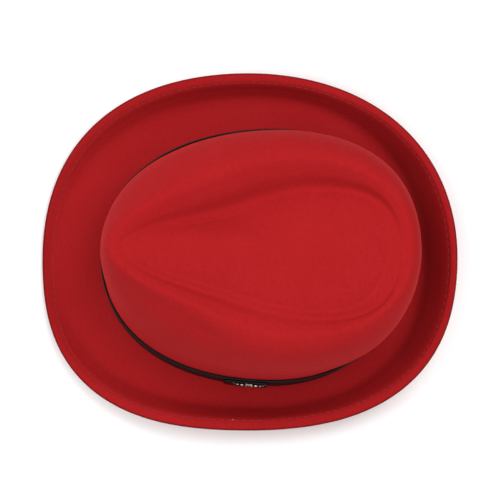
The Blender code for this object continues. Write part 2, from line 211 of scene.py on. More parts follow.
# Crown wall, from the crest down to the band. sides, ends and widest are shares of the way in from
# the head oval to the crest, and up of the way from the brim to the crest. A corner above 0 is fuller
# than an ellipse, and below 0 it is pinched.
WallRow = namedtuple("WallRow", "name sides ends up widest front_left front_right back_left back_right")
CROWN_WALL = (
    WallRow("crest", 1.00, 1.00, 1.000, 1.00, -0.124, -0.090, 0.000, 0.016),
    WallRow("shoulder", 0.68, 0.60, 0.955, 0.66, -0.135, -0.080, -0.008, 0.018),
    WallRow("high wall", 0.38, 0.30, 0.790, 0.48, -0.036, 0.005, 0.002, 0.022),
    WallRow("low wall", 0.20, 0.14, 0.500, 0.30, 0.020, 0.036, 0.012, 0.020),
)
BAND_TOP = WallRow("band top", 0.10, 0.07, 0.0, 0.10, 0.044, 0.036, -0.014, 0.005)
HEAD_OVAL = WallRow("head oval", 0.00, 0.00, 0.0, 0.00, 0.042, 0.034, -0.028, -0.005)

# Brim. left to back are shares of its reach, the ups shares of the roll, and edge_like says how far
# the ring has turned from the head oval's outline to the edge's.
BrimRow = namedtuple("BrimRow", "name left right front back side_up front_up back_up edge_like")
BRIM = (
    BrimRow("flat", 0.38, 0.48, 0.62, 0.10, 0.00, 0.00, 0.00, 0.42),
    BrimRow("turn", 0.50, 0.60, 0.74, 0.26, 0.07, 0.08, 0.07, 0.60),
    BrimRow("roll", 0.64, 0.73, 0.84, 0.52, 0.45, 0.28, 0.46, 0.78),
    BrimRow("lip", 0.76, 0.83, 0.91, 0.78, 0.86, 0.55, 0.89, 0.93),
    BrimRow("hem", 0.82, 0.88, 0.95, 0.86, 0.94, 0.76, 0.98, 0.97),
    BrimRow("edge", 1.00, 1.00, 1.00, 1.00, 1.00, 1.00, 1.00, 1.00),
)

# Rows of the felt's outer side, from one named ring to the next, or from millimetres past each
RowRun = namedtuple("RowRun", "rows start end start_mm end_mm", defaults=(0.0, 0.0))
ROW_RUNS = (
    RowRun(15, "middle", "island", 0.0, -3.2),
    RowRun(18, "island", "island", -3.2, 2.2),
    RowRun(5, "island", "crease", 2.2),
    RowRun(8, "crease", "ridge"),
    RowRun(8, "ridge", "crest"),
    RowRun(8, "crest", "shoulder"),
    RowRun(8, "shoulder", "high wall"),
    RowRun(7, "high wall", "low wall"),
    RowRun(5, "low wall", "band top"),
    RowRun(4, "band top", "head oval"),
    RowRun(6, "head oval", "brim start"),
    RowRun(3, "brim start", "flat"),
    RowRun(12, "flat", "edge", 0.0, -11.0),
    RowRun(20, "edge", "edge", -11.0, -5.6),
    RowRun(8, "edge", "edge", -5.6, -1.4),
)


def unit(vectors):
    return vectors / np.linalg.norm(vectors, axis=-1, keepdims=True)


def full_turn(count):
    """Angles of this many places round a circle."""
    return np.arange(count) * 2 * np.pi / count


def smooth_step(start, end, values):
    share = np.clip((values - start) / (end - start), 0.0, 1.0)
    return share * share * (3 - 2 * share)


def bump_at(place, width, values):
    return np.exp(-(((values - place) / width) ** 2))


# Shape of the hat, as in the CAD source


def between_sections(first, second, share):
    return Section(*(np.array(first) + share * (np.array(second) - np.array(first))))


def island_section():
    crease = top_section(1.0, 1.0)
    return Section(
        crease.left - ISLAND_IN_LEFT,
        crease.right - ISLAND_IN_RIGHT,
        crease.front - ISLAND_IN_ENDS,
        crease.back - ISLAND_IN_ENDS,
        crease.widest,
        crease.left_up + ISLAND_UP_LEFT,
        crease.right_up + ISLAND_UP_RIGHT,
        crease.front_up,
        crease.back_up,
        *ISLAND_CORNERS,
        crease.dip_left,
        crease.dip_right,
    )


def wall_section(row, height=None):
    ups = [
        FELT + row.up * (crest - FELT) if height is None else height
        for crest in (CREST_UP_LEFT, CREST_UP_RIGHT, CREST_UP_FRONT, CREST_UP_BACK)
    ]
    return Section(
        HEAD_LEFT - row.sides * CREST_INSET_LEFT,
        HEAD_RIGHT - row.sides * CREST_INSET_RIGHT,
        HEAD_LENGTH / 2 - row.ends * CREST_INSET_FRONT,
        HEAD_LENGTH / 2 - row.ends * CREST_INSET_BACK,
        HEAD_WIDEST + row.widest * (CREST_WIDEST - HEAD_WIDEST),
        *ups,
        row.front_left,
        row.front_right,
        row.back_left,
        row.back_right,
    )


def top_section(inward, down):
    """A ring between the crest and the crease, at these shares of the way in and of the way down."""
    crest = wall_section(CROWN_WALL[0])
    crease = Section(
        crest.left - CREASE_INSET_LEFT,
        crest.right - CREASE_INSET_RIGHT,
        crest.front - CREASE_INSET_FRONT,
        crest.back - CREASE_INSET_BACK,
        CREASE_WIDEST,
        crest.left_up - CREASE_DEPTH_LEFT,
        crest.right_up - CREASE_DEPTH_RIGHT,
        crest.front_up - CREASE_DEPTH_FRONT,
        crest.back_up - CREASE_DEPTH_BACK,
        *CREASE_CORNERS,
        CREASE_DIP_LEFT,
        CREASE_DIP_RIGHT,
    )
    plan = between_sections(crest, crease, inward)
    heights = between_sections(crest, crease, down)
    lowered = {name: getattr(heights, name) for name in Section._fields if "up" in name or "dip" in name}
    return plan._replace(**lowered)


def widened(section, out, height):
    sides = {side: getattr(section, side) + out for side in SIDES}
    return section._replace(**sides, **{side + "_up": height for side in SIDES})


def brim_section(row):
    head = wall_section(HEAD_OVAL)
    corners = [start + row.edge_like * (end - start) for start, end in zip(head[9:13], EDGE_CORNERS)]
    return Section(
        head.left + row.left * BRIM_LEFT,
        head.right + row.right * BRIM_RIGHT,
        head.front + row.front * BRIM_FRONT,
        head.back + row.back * BRIM_BACK,
        HEAD_WIDEST + row.edge_like * (BRIM_WIDEST - HEAD_WIDEST),
        FELT + row.side_up * ROLL_LEFT,
        FELT + row.side_up * ROLL_RIGHT,
        FELT + row.front_up * ROLL_FRONT,
        FELT + row.back_up * ROLL_BACK,
        *corners,
    )


def rings(sections, angles):
    """Points of one ring for each section. Angle 0 is the wearer's left and +90 degrees the back."""
    ring = Section(*np.moveaxis(np.atleast_2d(np.array(sections, float))[:, :, None], 1, 0))
    across, along = np.cos(angles)[None], np.sin(angles)[None]
    is_left, is_back = across > 0, along > 0
    corner = np.where(
        is_back,
        np.where(is_left, ring.back_left, ring.back_right),
        np.where(is_left, ring.front_left, ring.front_right),
    )
    diagonal = np.sin(2 * angles)[None] ** 2
    reach = 1 + corner * diagonal
    to_front, to_back = ring.front + ring.widest, ring.back - ring.widest
    half, skew = (to_front + to_back) / 2, (to_back - to_front) / 2
    x = np.where(is_left, ring.left, ring.right) * reach * across
    y = ring.widest + reach * (half * along + skew * along**2)
    dip = np.where(is_back, 0.0, np.where(is_left, ring.dip_left, ring.dip_right)) * diagonal
    side_up = np.where(is_left, ring.left_up, ring.right_up)
    end_up = np.where(is_back, ring.back_up, ring.front_up)
    return np.stack([x, y, side_up * across**2 + end_up * along**2 - dip], axis=-1)


def smooth_curve(knots, values, places):
    """Values at these places of a smooth curve through the knots, which never swings past them."""
    spans = np.diff(knots)[:, None]
    secants = np.diff(values, axis=0) / spans
    slopes = np.zeros_like(values)
    slopes[0], slopes[-1] = secants[0], secants[-1]
    before, after = secants[:-1], secants[1:]
    same_way = before * after > 0
    weight_before = 2 * spans[1:] + spans[:-1]
    weight_after = spans[1:] + 2 * spans[:-1]
    safe_before = np.where(same_way, before, 1.0)
    safe_after = np.where(same_way, after, 1.0)
    mean = (weight_before + weight_after) / (weight_before / safe_before + weight_after / safe_after)
    slopes[1:-1] = np.where(same_way, mean, 0.0)

    i = np.clip(np.searchsorted(knots, places, side="right"), 1, len(spans)) - 1
    t = (places - knots[i])[:, None] / spans[i]
    start = (1 + 2 * t) * (1 - t) ** 2 * values[i] + t * (1 - t) ** 2 * spans[i] * slopes[i]
    end = t**2 * (3 - 2 * t) * values[i + 1] - t**2 * (1 - t) * spans[i] * slopes[i + 1]
    return start + end


def band_sections():
    low = FELT + BREAK_RADIUS
    return wall_section(HEAD_OVAL, low), wall_section(BAND_TOP, low + GAP + BAND_HEIGHT + GAP)


def key_sections():
    """The named rings of the felt's outer side, from the island's edge to the brim's."""
    band_low, band_high = band_sections()
    half_turn = 1 - math.sqrt(0.5)
    keys = {
        "island": island_section(),
        "crease": top_section(1.0, 1.0),
        "ridge": top_section(RIDGE_IN, RIDGE_DOWN),
    }
    keys.update({row.name: wall_section(row) for row in CROWN_WALL})
    keys["band top"] = band_high
    keys["head oval"] = band_low
    keys["break"] = widened(band_low, half_turn * BREAK_RADIUS, FELT + half_turn * BREAK_RADIUS)
    keys["brim start"] = widened(band_low, BREAK_RADIUS, FELT)
    keys.update({row.name: brim_section(row) for row in BRIM})
    return keys


def dense_profile(angles):
    """Close rows of points down the outer side, and the number of the row where each named ring lies."""
    keys = key_sections()
    values = np.array(list(keys.values()))
    left_side = values[:, [0, 5]]
    knots = np.concatenate([[0.0], np.cumsum(np.linalg.norm(np.diff(left_side, axis=0), axis=1))])
    steps = np.arange((len(knots) - 1) * KEY_STEPS + 1) / KEY_STEPS
    wall = rings(smooth_curve(knots, values, np.interp(steps, np.arange(len(knots)), knots)), angles)
    edge = wall[0]
    up = (values[0][5] + values[0][6]) / 2 + ISLAND_DOME_UP
    middle = np.array([0.0, ISLAND_MIDDLE, up])
    shares = np.linspace(0.0, 1.0, DOME_STEPS)[:-1, None, None]
    dome = middle + shares * (edge - middle)
    dome[..., 2] = up + shares[..., 0] ** 2 * (edge[:, 2] - up)
    places = {name: len(dome) + i * KEY_STEPS for i, name in enumerate(keys)}
    return np.concatenate([dome, wall]), {"middle": 0, **places}


def felt_rows():
    """Rows of the outer side in the frame of the head oval, each point's distance past the named rings
    that detail hangs on, and which rows lie on the level part of the brim."""
    profile, places = dense_profile(full_turn(COLUMNS))
    lengths = np.linalg.norm(np.diff(profile, axis=0), axis=2)
    down = np.concatenate([np.zeros((1, COLUMNS)), np.cumsum(lengths, axis=0)])
    targets, level = [], []
    for run in ROW_RUNS:
        start = down[places[run.start]] + run.start_mm * MM
        end = down[places[run.end]] + run.end_mm * MM
        for step in range(run.rows):
            targets.append(start + (end - start) * step / run.rows)
            level.append(run.start == "brim start" or (run.start == "flat" and step == 0))
    targets.append(end)
    level.append(False)
    targets = np.array(targets)
    rows = np.empty((len(targets), COLUMNS, 3))
    for i in range(COLUMNS):
        for axis in range(3):
            rows[:, i, axis] = np.interp(targets[:, i], down[:, i], profile[:, i, axis])
    past = {name: targets - down[place] for name, place in places.items()}
    return rows, past, np.array(level)


def normals_of(rows):
    """Unit normals of a grid of closed rows, the first of which is all one point."""
    around = np.roll(rows, -1, axis=1) - np.roll(rows, 1, axis=1)
    down = np.empty_like(rows)
    down[1:-1] = unit(rows[2:] - rows[1:-1]) + unit(rows[1:-1] - rows[:-2])
    down[0], down[-1] = rows[1] - rows[0], rows[-1] - rows[-2]
    normals = np.cross(down, around)
    normals[0] = (0.0, 0.0, 1.0)
    return unit(normals)


# Making of meshes and of Geometry Nodes trees


def linear(code):
    """An sRGB hex colour as linear red, green, blue and alpha."""
    parts = [int(code[i : i + 2], 16) / 255 for i in (0, 2, 4)]
    return (*(c / 12.92 if c <= 0.04045 else ((c + 0.055) / 1.055) ** 2.4 for c in parts), 1.0)


def per_mm(size):
    """Scale of a pattern on Object coordinates whose features are this many millimetres."""
    return 1000.0 / size


def set_inputs(node, inputs):
    """Gives each named or numbered input a value, a link, or a link to a node's first output."""
    for key, value in dict(inputs).items():
        if isinstance(value, bpy.types.Node):
            value = value.outputs[0]
        if isinstance(value, bpy.types.NodeSocket):
            node.id_data.links.new(value, node.inputs[key])
        else:
            node.inputs[key].default_value = value


def add_node(tree, kind, inputs=(), **settings):
    """Adds a node with its settings and its inputs."""
    node = tree.nodes.new(kind)
    for name, value in settings.items():
        setattr(node, name, value)
    set_inputs(node, inputs)
    return node


def new_object(name, data):
    item = bpy.data.objects.new(name, data)
    bpy.context.scene.collection.objects.link(item)
    return item


def new_piece(name, points, faces, edges=()):
    mesh = bpy.data.meshes.new(name)
    mesh.from_pydata(np.asarray(points).tolist(), edges, faces)
    mesh.validate()
    mesh.shade_smooth()
    return new_object(name, mesh)


def face_out(piece):
    shape = bmesh.new()
    shape.from_mesh(piece.data)
    bmesh.ops.remove_doubles(shape, verts=shape.verts, dist=1e-7)
    bmesh.ops.recalc_face_normals(shape, faces=shape.faces)
    shape.to_mesh(piece.data)
    shape.free()


def keep_attribute(mesh, name, values):
    """Stores a number or a vector for each point."""
    values = np.asarray(values, np.float32)
    kind, field = ("FLOAT_VECTOR", "vector") if values.ndim == 2 else ("FLOAT", "value")
    mesh.attributes.new(name, kind, "POINT").data.foreach_set(field, values.ravel())


def closed_path(name, points, outs):
    """A closed path of points, with the outward direction of what it lies on stored on it."""
    piece = new_piece(name, points, [], [(i, (i + 1) % COLUMNS) for i in range(COLUMNS)])
    keep_attribute(piece.data, "path_out", outs)
    return piece


def new_tree(name, inputs):
    """A Geometry Nodes tree with its named inputs, listed under their kinds: what adds a node to it,
    and the sockets of its inputs."""
    tree = bpy.data.node_groups.new(name, "GeometryNodeTree")
    for way in ("INPUT", "OUTPUT"):
        tree.interface.new_socket("Geometry", in_out=way, socket_type="NodeSocketGeometry")
    for kind, labels in inputs.items():
        for label in labels:
            tree.interface.new_socket(label, in_out="INPUT", socket_type="NodeSocket" + kind)
    return partial(add_node, tree), tree.nodes.new("NodeGroupInput").outputs


def finish_tree(add, geometry, material):
    real = add("GeometryNodeRealizeInstances", {"Geometry": geometry})
    painted = add("GeometryNodeSetMaterial", {"Geometry": real, "Material": material})
    return add("NodeGroupOutput", {"Geometry": painted}).id_data


def grow(piece, tree, values):
    """Gives the piece the tree's result as a plain mesh."""
    modifier = piece.modifiers.new(tree.name, "NODES")
    modifier.node_group = tree
    for item in tree.interface.items_tree:
        if item.in_out == "INPUT" and item.name in values:
            modifier[item.identifier] = values[item.name]
    graph = bpy.context.evaluated_depsgraph_get()
    made = bpy.data.meshes.new_from_object(
        piece.evaluated_get(graph), preserve_all_data_layers=True, depsgraph=graph
    )
    piece.modifiers.clear()
    piece.data = made
    made.name = piece.name
    return piece


def layer_faces(layers, count, first=0):
    """Faces between closed layers of this many points each, from the first point's number on."""
    faces = []
    for start in range(first, first + (layers - 1) * count, count):
        for i in range(count):
            a, b = start + i, start + (i + 1) % count
            faces.append((a, a + count, b + count, b))
    return faces


def capped_faces(layers, count):
    last = (layers - 1) * count
    caps = [tuple(reversed(range(count))), tuple(range(last, last + count))]
    return layer_faces(layers, count) + caps


def turned(x, y, z):
    """The turn that lays the three axes along these directions."""
    return Matrix((x, y, z)).transposed().to_4x4()


# Felt


def pressed_felt_tree():
    """Moves the wall a little in and out in soft patches, as hand pressing leaves it. Both sides of the
    wall move together, because the noise is read at the place that they share."""
    add, given = new_tree("pressed felt", {"Float": ("Depth", "Patch", "Seed"), "Material": ("Felt",)})
    place, out = (
        add("GeometryNodeInputNamedAttribute", {"Name": name}, data_type="FLOAT_VECTOR")
        for name in ("wall_place", "wall_out")
    )
    loose = add("GeometryNodeInputNamedAttribute", {"Name": "loose"}, data_type="FLOAT")
    scale = add("ShaderNodeMath", {0: 1.0, 1: given["Patch"]}, operation="DIVIDE")
    noise = add(
        "ShaderNodeTexNoise",
        {"Vector": place, "W": given["Seed"], "Scale": scale, "Detail": 1.0, "Roughness": 0.45},
        noise_dimensions="4D",
    )
    middle = add("ShaderNodeMath", {0: noise, 1: 0.5}, operation="SUBTRACT")
    depth = add("ShaderNodeMath", {0: middle, 1: given["Depth"]}, operation="MULTIPLY")
    freed = add("ShaderNodeMath", {0: depth, 1: loose}, operation="MULTIPLY")
    shift = add("ShaderNodeVectorMath", {0: out, "Scale": freed}, operation="SCALE")
    moved = add("GeometryNodeSetPosition", {"Geometry": given["Geometry"], "Offset": shift})
    return finish_tree(add, moved, given["Felt"])


def thumb_dent(points):
    """How far each point lies in the soft dent under the front left of the crest, from 0 to 1."""
    away = points - np.array(DENT_MIDDLE)
    along = away @ unit(np.array(DENT_WAY))
    across = np.sqrt(np.maximum((away**2).sum(axis=-1) - along**2, 0.0))
    return bump_at(0.0, DENT_LENGTH / 2, along) * bump_at(0.0, DENT_WIDTH / 2, across)


def island_rim(from_island):
    """Height of the pressed rim along the island's edge, with the faint dip inside it."""
    angles = full_turn(COLUMNS)
    flank = np.where(from_island < 0, RIM_FLANK_IN, RIM_FLANK_OUT)
    rim = RIM_HEIGHT * bump_at(0.0, flank, from_island)
    rim = rim - RIM_DIP * bump_at(-RIM_DIP_IN, RIM_DIP_WIDTH, from_island)
    rim = rim * smooth_step(*RIM_FROM_FRONT, np.sin(angles))
    return rim * smooth_step(*RIM_FROM_RIGHT, np.cos(angles))


def felt_body(felt):
    """The felt, how far it was shifted, and the first point of its rows over and under the seam."""
    rows, past, level = felt_rows()
    out = normals_of(rows)
    out[level] = UP
    to_edge = -past["edge"]
    sunk = SEAM_DEPTH * bump_at(STITCH_LINE, SEAM_WIDTH, to_edge)
    rows = rows - out * (DENT_DEPTH * thumb_dent(rows))[..., None]
    outer = rows + out * (island_rim(past["island"]) - sunk)[..., None]

    # The underside, with the step of the folded hem's raw edge
    wall = FELT + (HEM - FELT) * (1 - smooth_step(*HEM_STEP, to_edge))
    inner = rows - out * (wall - sunk * SEAM_DEPTH_UNDER)[..., None]
    inner[level] = rows[level] - FELT * UP

    # The fold itself is half round, and its colour is darkened as painted shade where it turns sideways and
    # under
    onward = unit(rows[-1] - rows[-2])
    centre = (outer[-1] + inner[-1]) / 2
    turns = np.linspace(0.0, np.pi, FOLD_ROWS + 2)[1:-1]
    fold = [centre + HEM / 2 * (np.cos(a) * out[-1] + np.sin(a) * onward) for a in turns]
    shade_paint = [np.full(COLUMNS, smooth_step(0.0, 0.7, math.sin(a) if a < np.pi / 2 else 1.0)) for a in turns]

    # The brim's edge is set level in the middle of the CAD solid's box
    low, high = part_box("felt_body")
    edge = np.concatenate([outer, fold]).reshape(-1, 3)
    shift = (edge.min(axis=0) + edge.max(axis=0)) / 2 - np.array(low + high) / 2
    shift[2] = 0.0

    # Inside the crown every second row is enough
    keep = [i for i in range(1, len(rows)) if i % 2 == 0 or past["edge"][i, 0] > -UNDER_ROWS]

    def round_the_wall(outside, folded=None, inside=None):
        """Values down the outer side, round the fold and back up the inner side, as the points go."""
        folded = [outside[-1]] * len(fold) if folded is None else folded
        inside = outside if inside is None else inside
        first, last = [outside[0, 0]], [inside[0, 0]]
        return np.concatenate([first, *outside[1:], *folded, *inside[keep][::-1], last])

    # Hand pressing leaves the felt alone under the band and on the level brim
    loose = smooth_step(*PRESS_UP_CROWN, rows[..., 2]) * (past["head oval"] < 0)
    loose = loose + PRESS_BRIM * smooth_step(*PRESS_UP_BRIM, rows[..., 2]) * (past["brim start"] > 0)

    points = round_the_wall(outer, fold, inner) - shift
    count = len(rows) - 1 + len(fold) + len(keep)
    faces = [(0, 1 + i, 1 + (i + 1) % COLUMNS) for i in range(COLUMNS)]
    faces += layer_faces(count, COLUMNS, first=1)
    last = 1 + (count - 1) * COLUMNS
    faces += [(last + i, last + COLUMNS, last + (i + 1) % COLUMNS) for i in range(COLUMNS)]

    piece = new_piece("pressed_felt", points, faces)
    keep_attribute(piece.data, "wall_place", round_the_wall(rows))
    keep_attribute(piece.data, "wall_out", round_the_wall(out))
    keep_attribute(piece.data, "loose", round_the_wall(loose))
    # Painted shade, only round the fold of the brim's edge
    keep_attribute(piece.data, "painted_fold_shade", round_the_wall(np.zeros(loose.shape), shade_paint))
    values = {"Depth": PRESS_DEPTH, "Patch": PRESS_PATCH, "Seed": PRESS_SEED, "Felt": felt}
    grow(piece, pressed_felt_tree(), values)

    seam = int(np.argmin(np.abs(to_edge[:, 0] - STITCH_LINE)))
    under = len(rows) - 1 + len(fold) + keep[::-1].index(seam)
    return piece, shift, 1 + (seam - 1) * COLUMNS, 1 + under * COLUMNS


# Stitches


def stitch_tree():
    """Lays one thread arch after another along a path, each turned to the felt under it."""
    sizes = ("Pitch", "Length", "Thread", "Rise", "Unevenness")
    add, given = new_tree("hem stitches", {"Float": sizes, "Int": ("Seed",), "Material": ("Dye",)})
    curve = add("GeometryNodeMeshToCurve", {"Mesh": given["Geometry"]})
    evenly = add("GeometryNodeResampleCurve", {"Curve": curve, "Length": given["Pitch"]}, mode="LENGTH")
    back, ahead, dip, peak, thin = (
        add("ShaderNodeMath", {0: given[size], 1: share}, operation="MULTIPLY")
        for size, share in zip(("Length", "Length", "Rise", "Rise", "Thread"), ARCH_SHARES)
    )
    first = add("ShaderNodeCombineXYZ", {"X": back, "Z": dip})
    last = add("ShaderNodeCombineXYZ", {"X": ahead, "Z": dip})
    top = add("ShaderNodeCombineXYZ", {"Z": peak})
    arch = add(
        "GeometryNodeCurveQuadraticBezier", {"Resolution": 7, "Start": first, "Middle": top, "End": last}
    )
    outline = add("GeometryNodeCurvePrimitiveCircle", {"Resolution": 6, "Radius": thin})
    thread = add("GeometryNodeCurveToMesh", {"Curve": arch, "Profile Curve": outline, "Fill Caps": True})
    out = add("GeometryNodeInputNamedAttribute", {"Name": "path_out"}, data_type="FLOAT_VECTOR")
    tangent = add("GeometryNodeInputTangent")
    lean = add(
        "FunctionNodeRandomValue",
        {0: (-1.0, -1.0, -1.0), 1: (1.0, 1.0, 1.0), "Seed": given["Seed"]},
        data_type="FLOAT_VECTOR",
    )
    small = add("ShaderNodeVectorMath", {0: lean, "Scale": given["Unevenness"]}, operation="SCALE")
    aim = add("ShaderNodeVectorMath", {0: tangent, 1: small}, operation="ADD")
    turn = add("FunctionNodeAxesToRotation", {0: out, 1: aim}, primary_axis="Z", secondary_axis="X")
    laid = add("GeometryNodeInstanceOnPoints", {"Points": evenly, "Instance": thread, "Rotation": turn})
    soft = add("GeometryNodeSetShadeSmooth", {0: laid})
    return finish_tree(add, soft, given["Dye"])


def felt_row(mesh, start):
    """Places and outward directions of the points along one row of the felt."""
    found = []
    for name in ("co", "normal"):
        values = np.empty(len(mesh.vertices) * 3, np.float32)
        mesh.vertices.foreach_get(name, values)
        found.append(values.reshape(-1, 3)[start : start + COLUMNS])
    return found


def cut_end(mesh, start, fibre):
    """The cut end of the hem's thread, a short stub that bows up out of the seam, bends aside and frays."""
    places, outs = felt_row(mesh, start)
    i = int(np.argmin(np.abs(places[:, 1] - CUT_END_BEHIND) + (places[:, 0] < 0)))
    out = Vector(outs[i])
    along = Vector(places[(i + 1) % COLUMNS] - places[i - 1]).normalized()
    route, radii = [], []
    for t in np.linspace(0.0, 1.0, 9):
        rise = CUT_END_RISE * math.sin(t * 0.8 * math.pi)
        route.append((CUT_END_LENGTH * t, 0.2 * CUT_END_LENGTH * t**2, rise))
        radii.append(0.4 * THREAD * (1.0 + 0.5 * t**2))
    points, faces, _ = tube(route, radii, sides=8)
    piece = new_piece("cut_thread_end", points, faces)
    face_out(piece)
    place = Matrix.Translation(Vector(places[i])) @ turned(along, out.cross(along), out)
    piece.data.transform(place @ Matrix.Rotation(CUT_END_TURN, 4, "Z"))
    piece.data.materials.append(fibre)
    return piece


# Leather


def leather_place(angles, shares, outs, shift):
    """Points over the band's seat: at an angle, a share of the way up it, and a distance out."""
    low, high = band_sections()
    height = high.left_up - low.left_up
    bottom, top = rings(low, angles)[0], rings(high, angles)[0]
    step = 1e-4
    ahead, behind = rings(low, angles + step)[0], rings(low, angles - step)[0]
    up = top - bottom
    out = unit(np.cross(unit(ahead - behind), up))
    share = (GAP + np.asarray(shares) * (height - 2 * GAP)) / height
    return bottom + share[..., None] * up + np.asarray(outs)[..., None] * out - shift, out, unit(up)


def angle_at(distance):
    """The angle round the hat where the head oval's left side is this far behind its middle."""
    angles = np.linspace(-np.pi / 3, np.pi / 3, 800)
    return np.interp(distance, rings(wall_section(HEAD_OVAL, FELT), angles)[0, :, 1], angles)


def strap_tree():
    """A strap with rounded edges, drawn along a path round the crown."""
    add, given = new_tree(
        "leather strap", {"Float": ("Width", "Thickness", "Edge"), "Material": ("Leather",)}
    )
    curve = add("GeometryNodeMeshToCurve", {"Mesh": given["Geometry"]})
    out = add("GeometryNodeInputNamedAttribute", {"Name": "path_out"}, data_type="FLOAT_VECTOR")
    upright = add("GeometryNodeSetCurveNormal", {"Curve": curve, "Normal": out}, mode="FREE")
    section = add(
        "GeometryNodeCurvePrimitiveQuadrilateral",
        {"Width": given["Thickness"], "Height": given["Width"]},
        mode="RECTANGLE",
    )
    rounded = add(
        "GeometryNodeFilletCurve",
        {"Curve": section, "Count": 4, "Radius": given["Edge"], "Limit Radius": True},
        mode="POLY",
    )
    strap = add("GeometryNodeCurveToMesh", {"Curve": upright, "Profile Curve": rounded})
    soft = add("GeometryNodeSetShadeSmooth", {0: strap})
    return finish_tree(add, soft, given["Leather"])


def hatband(leather, shift):
    points, out, _ = leather_place(full_turn(COLUMNS), 0.5, GAP + BAND_THICKNESS / 2, shift)
    piece = closed_path("hatband_strap", points, out)
    values = {"Width": BAND_HEIGHT, "Thickness": BAND_THICKNESS, "Edge": BAND_EDGE, "Leather": leather}
    return grow(piece, strap_tree(), values)


def band_end(leather, shift):
    """The free end over the band, a short strap with round corners and rounded edges."""
    middle = 2 * GAP + BAND_THICKNESS + END_THICKNESS / 2
    half = BAND_HEIGHT / 2 - END_MARGIN
    bend = END_CORNER * (1 - np.cos(np.linspace(0.0, np.pi / 2, 9)[1:]))
    straight = np.linspace(END_CORNER, END_LENGTH - END_CORNER, 18)[1:-1]
    stations = np.concatenate([bend, straight, END_LENGTH - bend[::-1]])
    first, last = angle_at(END_MIDDLE - END_LENGTH / 2), angle_at(END_MIDDLE + END_LENGTH / 2)
    layers = []
    for station in stations:
        to_end = min(station, END_LENGTH - station)
        spare = max(END_CORNER - to_end, 0.0)
        reach = half - (END_CORNER - math.sqrt(max(END_CORNER**2 - spare**2, 0.0)))
        thick = END_THICKNESS * (1.0 - END_THINNED * (1 - min(to_end / END_EDGE, 1.0)) ** 2)
        soft = min(END_EDGE, thick / 2 * 0.95)
        profile = []
        for up_sign, out_sign, turn in ((1, 1, 0), (-1, 1, 90), (-1, -1, 180), (1, -1, 270)):
            for a in np.radians(turn + np.linspace(0, 90, 5)):
                up = up_sign * (reach - soft) + soft * math.cos(a)
                profile.append((up, out_sign * (thick / 2 - soft) + soft * math.sin(a)))
        profile = np.array(profile)
        share = 0.5 + profile[:, 0] / BAND_HEIGHT
        angle = np.full(len(profile), first + (last - first) * station / END_LENGTH)
        layers.append(leather_place(angle, share, middle + profile[:, 1], shift)[0])
    faces = capped_faces(len(layers), len(layers[0]))
    piece = new_piece("band_free_end", np.concatenate(layers), faces)
    face_out(piece)
    piece.data.set_sharp_from_angle(angle=math.radians(50))
    piece.data.materials.append(leather)
    return piece


# Ornament


def ornament_place(shift):
    """Turns the ornament's own frame, x along the band, y up it and z out of it, to its seat."""
    seat = GAP + BAND_THICKNESS + GAP + END_THICKNESS + GAP
    found = leather_place(np.array([angle_at(ORNAMENT_MIDDLE)]), 0.5, seat, shift)
    point, out, up = (Vector(values[0]) for values in found)
    along = up.cross(out).normalized()
    return Matrix.Translation(point + up * ORNAMENT_UP) @ turned(along, up, out)


# Steer's head, from the chin up to the poll: half width and depth as shares of the plate's
HeadRow = namedtuple("HeadRow", "name up half_width depth")
STEER_HEAD = (
    HeadRow("chin", 0.00, 0.30, 0.40),
    HeadRow("muzzle", 0.08, 0.56, 0.74),
    HeadRow("nostrils", 0.17, 0.60, 0.86),
    HeadRow("nose", 0.32, 0.50, 0.86),
    HeadRow("cheek", 0.55, 0.66, 0.92),
    HeadRow("brow", 0.76, 1.00, 1.00),
    HeadRow("forehead", 0.90, 0.86, 0.90),
    HeadRow("poll", 1.00, 0.56, 0.62),
)
SEAT_UP = 0.62  # share of the head's height that lies below the ornament's own middle
FACE_TALL, FACE_WIDE = 34, 28  # rows and columns of points

# The eye's middle, as shares of the plate's half width, height and depth, and its radius, of the width
EYE_SIDE, EYE_UP, EYE_OUT = 0.60, 0.71, 0.66
EYE_RADIUS = 0.055

# Forms of the face: how far each stands out, as a share of the plate's depth, and its place and size,
# as shares of the head's half width and height
FaceForm = namedtuple("FaceForm", "name out side width up height")
FACE_FORMS = (
    FaceForm("brow", 0.20, 0.55, 0.20, 0.80, 0.05),
    FaceForm("eye socket", -0.30, 0.66, 0.14, EYE_UP, 0.045),
    FaceForm("nostril", -0.30, 0.42, 0.15, 0.13, 0.030),
)
NOSE_OUT, MOUTH_IN, CURLS_OUT = 0.16, 0.14, 0.10

# Horns and ears: their roots, as shares of the plate's width and height from the ornament's middle, and
# then their forms, as shares of their own rise, radius, length or width
HORN_START, HORN_UP = 0.15, 0.30
HORN_SAG = 0.25
HORN_TAPER = 0.68
HORN_RINGS = 0.12
EAR_START, EAR_UP = 0.36, 0.10
EAR_DROOP = 0.35
EAR_LIFT = 0.4
EAR_FLAT = 0.6
EAR_HOLLOW = 0.9


